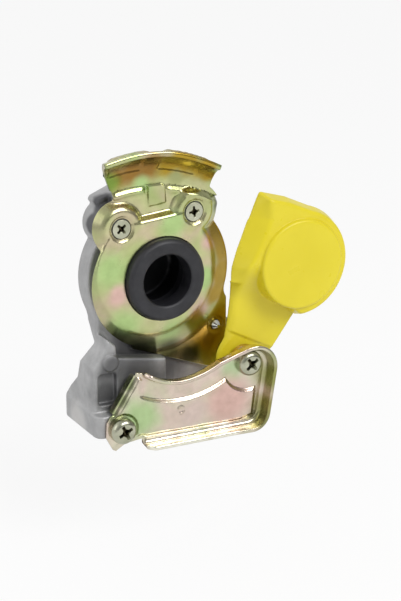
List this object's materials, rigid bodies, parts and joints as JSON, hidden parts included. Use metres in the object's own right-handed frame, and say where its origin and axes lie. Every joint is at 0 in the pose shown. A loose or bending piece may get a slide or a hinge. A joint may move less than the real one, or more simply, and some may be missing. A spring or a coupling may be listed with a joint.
{
  "type": "gladhand air brake coupler",
  "caption": "Trailer air brake palm coupling: ported casting, claw and guide plates round a rubber seal, and a swing lid open.",
  "frame": {"origin": "centre of the hose port's mouth, in the underside of the casting", "axes": "port points down along -Z, the coupling face looks along -Y, the lid's pivot is on the +X side"},
  "size_m": [0.1057, 0.038, 0.1134],
  "materials": {
    "casting": "satin",
    "yellow_zinc": "satin",
    "seal": "matte",
    "lid": "gloss",
    "bush": "satin",
    "washer": "satin",
    "screw": "satin",
    "pin": "polished",
    "spring": "satin"
  },
  "bodies": {
    "head": {"body_casting": "casting", "face_plate": "yellow_zinc", "guard_plate": "yellow_zinc", "seal_ring": "seal", "pivot_bush": "bush", "pivot_washer": "washer", "pivot_screw": "screw", "guard_screw": "screw", "face_screw_left": "screw", "face_screw_right": "screw", "detent_spring": "spring"},
    "lid": {"lid": "lid"},
    "detent": {"detent_pin": "pin"}
  },
  "joints": [
    {"name": "lid_swing", "type": "hinge", "parent": "head", "child": "lid", "pos_m": [0.0448, -0.0145, 0.0211], "axis": [0, -1, 0], "range_deg": [0, 71]},
    {"name": "detent_push", "type": "slide", "parent": "head", "child": "detent", "axis": [0, 1, 0], "range_m": [0, 0.0015], "stiffness_N_per_m": 400, "springref_m": -0.002, "deforming": ["detent_spring"]}
  ]
}
